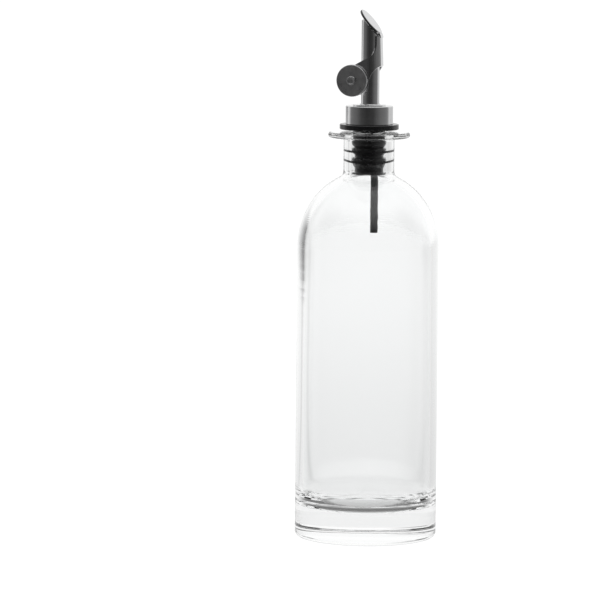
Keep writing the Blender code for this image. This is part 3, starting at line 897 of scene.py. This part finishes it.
def sway(point):
    """Moves a ring of the hanging stretch to the side, and swells or narrows it a little."""
    hang = min(1.0, max(0.0, (STOPPER_FOOT_Z - point.z) / AIR_FADE))
    side = noise.noise(Vector((*SWAY_SEED, point.z * SWAYS_PER_M)))
    swell = noise.noise(Vector((*SWELL_SEED, point.z * SWELLS_PER_M)))
    sideways = Vector((side, 0.5 * side, 0.0)) * AIR_SWAY
    bent = Vector((AIR_BEND, 0.0, 0.0))
    across = Vector((point.x, point.y, 0.0)) * (AIR_SWELL + SWELL_VARIES * swell)
    return (sideways + bent + across) * hang


air_tube = turn_round("air_tube_plastic", air_tube_profile(), sides=40, closed=True, shift=sway)
air_tube.data.transform(Matrix.Translation((AIR_X, 0.0, 0.0)))
dress(air_tube, plastic, "bottle_body", "dark_plastic", "air_tube")

# %% [markdown]
# ## Weights and rivet
#
# Each weight is a steel disc turned on a lathe. Its face keeps the fine rings that the tool leaves, which
# is why it looks darker and softer than the polished parts. The rings are a wave texture round the disc's
# own axis, and the two discs are held by one rivet with dished heads.

# %% Satin steel
WEIGHT_X = -6.75 * MM
WEIGHT_Z = 234.3 * MM
RING_STEP = 0.35 * MM
RINGS_PER_SCALE = 3.2
RING_DEPTH = 0.006 * MM
SATIN_COLOUR = (0.52, 0.52, 0.525)
SATIN_DARK = (0.47, 0.47, 0.475)
SATIN_LIGHT = (0.59, 0.59, 0.593)
SATIN_GLOSS = (0.24, 0.40)
DULL_SCALE = 300.0

satin, nodes, links, shader = new_finish("satin_steel", SATIN_COLOUR, roughness=0.3, metallic=1.0)
place = nodes.new("ShaderNodeTexCoord")
centred = nodes.new("ShaderNodeMapping")
centred.inputs["Location"].default_value = (-WEIGHT_X, 0.0, -WEIGHT_Z)
links.new(place.outputs["Object"], centred.inputs["Vector"])
turned_lines = nodes.new("ShaderNodeTexWave")
turned_lines.wave_type = "RINGS"
turned_lines.rings_direction = "Y"
turned_lines.inputs["Scale"].default_value = 1.0 / RING_STEP / RINGS_PER_SCALE
turned_lines.inputs["Distortion"].default_value = 1.2
turned_lines.inputs["Detail"].default_value = 3.0
turned_lines.inputs["Detail Scale"].default_value = 0.6
links.new(centred.outputs["Vector"], turned_lines.inputs["Vector"])
dulling = grain(nodes, links, DULL_SCALE, detail=4.0)
spread(nodes, links, dulling, *SATIN_GLOSS, shader.inputs["Roughness"])
spread_colour(nodes, links, dulling, SATIN_DARK, SATIN_LIGHT, shader.inputs["Base Color"])
raise_grain(nodes, links, turned_lines.outputs["Fac"], RING_DEPTH, shader)
print("satin steel ready")

# %% Weights
WRAP_R = 5.55 * MM
SHEET_T = 0.9 * MM
GAP = 0.3 * MM
WEIGHT_R = 8.15 * MM
WEIGHT_T = 2.4 * MM
WEIGHT_EDGE = 0.45 * MM
WEIGHT_Y = WRAP_R + SHEET_T + GAP + WEIGHT_T / 2
PIN_R = 1.1 * MM


def lay_along_y(piece, x, y, z, flip):
    """Turns a lathe mesh from Z to Y and puts its middle at a point. The CAD frame keeps objects unmoved."""
    for vert in piece.data.vertices:
        px, py, pz = vert.co
        vert.co = (x + px, y + pz * flip, z - py * flip)
    piece.data.update()


def weight_profile():
    """Across the outer face, round the edge and across the inner face to the hole."""
    half = WEIGHT_T / 2
    rim = WEIGHT_R - WEIGHT_EDGE
    line = [(PIN_R + 0.05 * MM, half - 0.1 * MM), (PIN_R + 0.15 * MM, half)]
    line += straight_run((PIN_R + 0.15 * MM, half), (rim, half), 8)
    line += arc((rim, half - WEIGHT_EDGE), WEIGHT_EDGE, WEIGHT_EDGE, 90, 0, 8)
    line += arc((rim, WEIGHT_EDGE - half), WEIGHT_EDGE, WEIGHT_EDGE, 0, -90, 8)
    line += [(PIN_R + 0.05 * MM, -half)]
    return line


for side, sign in (("near", -1), ("far", 1)):
    disc = turn_round("weight_" + side + "_disc", weight_profile(), sides=128, closed=True)
    lay_along_y(disc, WEIGHT_X, sign * WEIGHT_Y, WEIGHT_Z, sign)
    disc.data.set_sharp_from_angle(angle=SHARP_ANGLE)
    dress(disc, satin, "lever_body", "satin_steel", "weight_" + side)

# %% Rivet
HEAD_R = 2.3 * MM
HEAD_T = 0.5 * MM
DISH = 0.22 * MM


def rivet_profile():
    """One dished head and half the pin, mirrored for the other side."""
    seat = WRAP_R + SHEET_T + GAP + WEIGHT_T + 0.02 * MM
    top = seat + GAP + HEAD_T
    dish_z = top - DISH
    dish_rim = (HEAD_R * 0.74, top - 0.05 * MM)
    upper = [(0.0, dish_z)]
    upper += bend((0.4 * MM, dish_z), (HEAD_R * 0.66, dish_z), dish_rim, 6)
    upper += bend((HEAD_R * 0.78, top), (HEAD_R, top), (HEAD_R, top - 0.3 * MM), 8)
    upper += [(HEAD_R, seat), (PIN_R, seat), (PIN_R, 0.2 * MM)]
    return upper + [(radius, -height) for radius, height in reversed(upper)]


rivet = turn_round("weight_rivet_steel", rivet_profile(), sides=64)
lay_along_y(rivet, WEIGHT_X, 0.0, WEIGHT_Z, 1)
rivet.data.set_sharp_from_angle(angle=SHARP_ANGLE)
dress(rivet, satin, "lever_body", "satin_steel", "weight_rivet")

# %% [markdown]
# ## Flap lever
#
# The lever is stamped from sheet steel: two arms, a strip that bends round the back of the tube, and a
# narrow tab that turns into the oval flap. Its shape from the CAD frame is right, so the CAD node stays
# and gets a finish alone: polished like the collar, but with the flap's cut edge left dull as the press
# made it and painted dark, a painted reflection of the dark room. A mask worked out from the flap's own
# oval finds this edge, except at the tab.

# %% Stamped steel
FLAP_X = 0.45 * MM
FLAP_T = 1.4 * MM
FLAP_LIFT = 0.35 * MM
FLAP_LENGTH_R = 7.9 * MM
FLAP_WIDTH_R = 5.4 * MM
RIM_SHARE = (0.945, 0.965)
RIM_HALF = (0.52 * MM, 0.60 * MM)
TAB_SHARE = (0.78, 0.88)
RIM_GLOSS = 0.5
# The cut edge's dark colour is a painted reflection of the dark room.
RIM_PAINTED_REFLECTION = (0.10, 0.10, 0.10)


def flap_rim(tree):
    """1 on the flap's cut edge and 0 elsewhere, from the object's own metres."""
    middle = (FLAP_X, 0.0, slant_z(FLAP_X, FLAP_LIFT + FLAP_T / 2))
    place = add_node(tree, "ShaderNodeTexCoord").outputs["Object"]
    moved = add_node(tree, "ShaderNodeVectorMath", ((0, place), (1, middle)), operation="SUBTRACT")
    local = moved.outputs["Vector"]
    along = (math.cos(MOUTH_SLOPE) / FLAP_LENGTH_R, 0.0, -math.sin(MOUTH_SLOPE) / FLAP_LENGTH_R)
    across = (0.0, 1.0 / FLAP_WIDTH_R, 0.0)
    square = (math.sin(MOUTH_SLOPE), 0.0, math.cos(MOUTH_SLOPE))
    u, v, lift = (part_along(tree, local, way) for way in (along, across, square))
    u_squared, v_squared = (calculate(tree, "MULTIPLY", value, value) for value in (u, v))
    oval = calculate(tree, "SQRT", calculate(tree, "ADD", u_squared, v_squared))
    outer = smooth_range(tree, oval, *RIM_SHARE)
    near = smooth_range(tree, calculate(tree, "ABSOLUTE", lift), *RIM_HALF, 1.0, 0.0)
    above_tab = smooth_range(tree, u, *TAB_SHARE, 1.0, 0.0)
    return calculate(tree, "MULTIPLY", calculate(tree, "MULTIPLY", outer, near), above_tab)


stamped, nodes, links, shader = new_finish("stamped_steel", STEEL_COLOUR, STEEL_ROUGHNESS, metallic=1.0)
wiping = grain(nodes, links, WIPE_SCALE, detail=4.0, stretch=WIPE_STRETCH)
rim = flap_rim(stamped.node_tree)
gloss = smooth_range(stamped.node_tree, wiping, NOISE_LOW, NOISE_HIGH, *STEEL_GLOSS, kind="LINEAR")
links.new(mix_values(stamped.node_tree, rim, gloss, RIM_GLOSS), shader.inputs["Roughness"])
# On the cut edge the rougher gloss is the real dull cut, and the dark colour is a painted reflection.
steel_mix = add_node(stamped.node_tree, "ShaderNodeMix", data_type="RGBA")
steel_mix.inputs["B"].default_value = (*RIM_PAINTED_REFLECTION, 1.0)
spread_colour(nodes, links, wiping, STEEL_DARK, STEEL_LIGHT, steel_mix.inputs["A"])
links.new(rim, steel_mix.inputs["Factor"])
links.new(steel_mix.outputs["Result"], shader.inputs["Base Color"])
print("stamped steel ready")

# %% Flap lever
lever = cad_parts["flap_lever"]
lever.data.materials.clear()
lever.data.materials.append(stamped)
print("flap lever has", len(lever.data.polygons), "faces")

# %% [markdown]
# ## Ray bounces
#
# Light passes through many glass surfaces here, so the scene raises its bounce limits.

# %% Bounces
cycles = bpy.context.scene.cycles
cycles.max_bounces = 24
cycles.transmission_bounces = 24
cycles.glossy_bounces = 12
cycles.transparent_max_bounces = 12
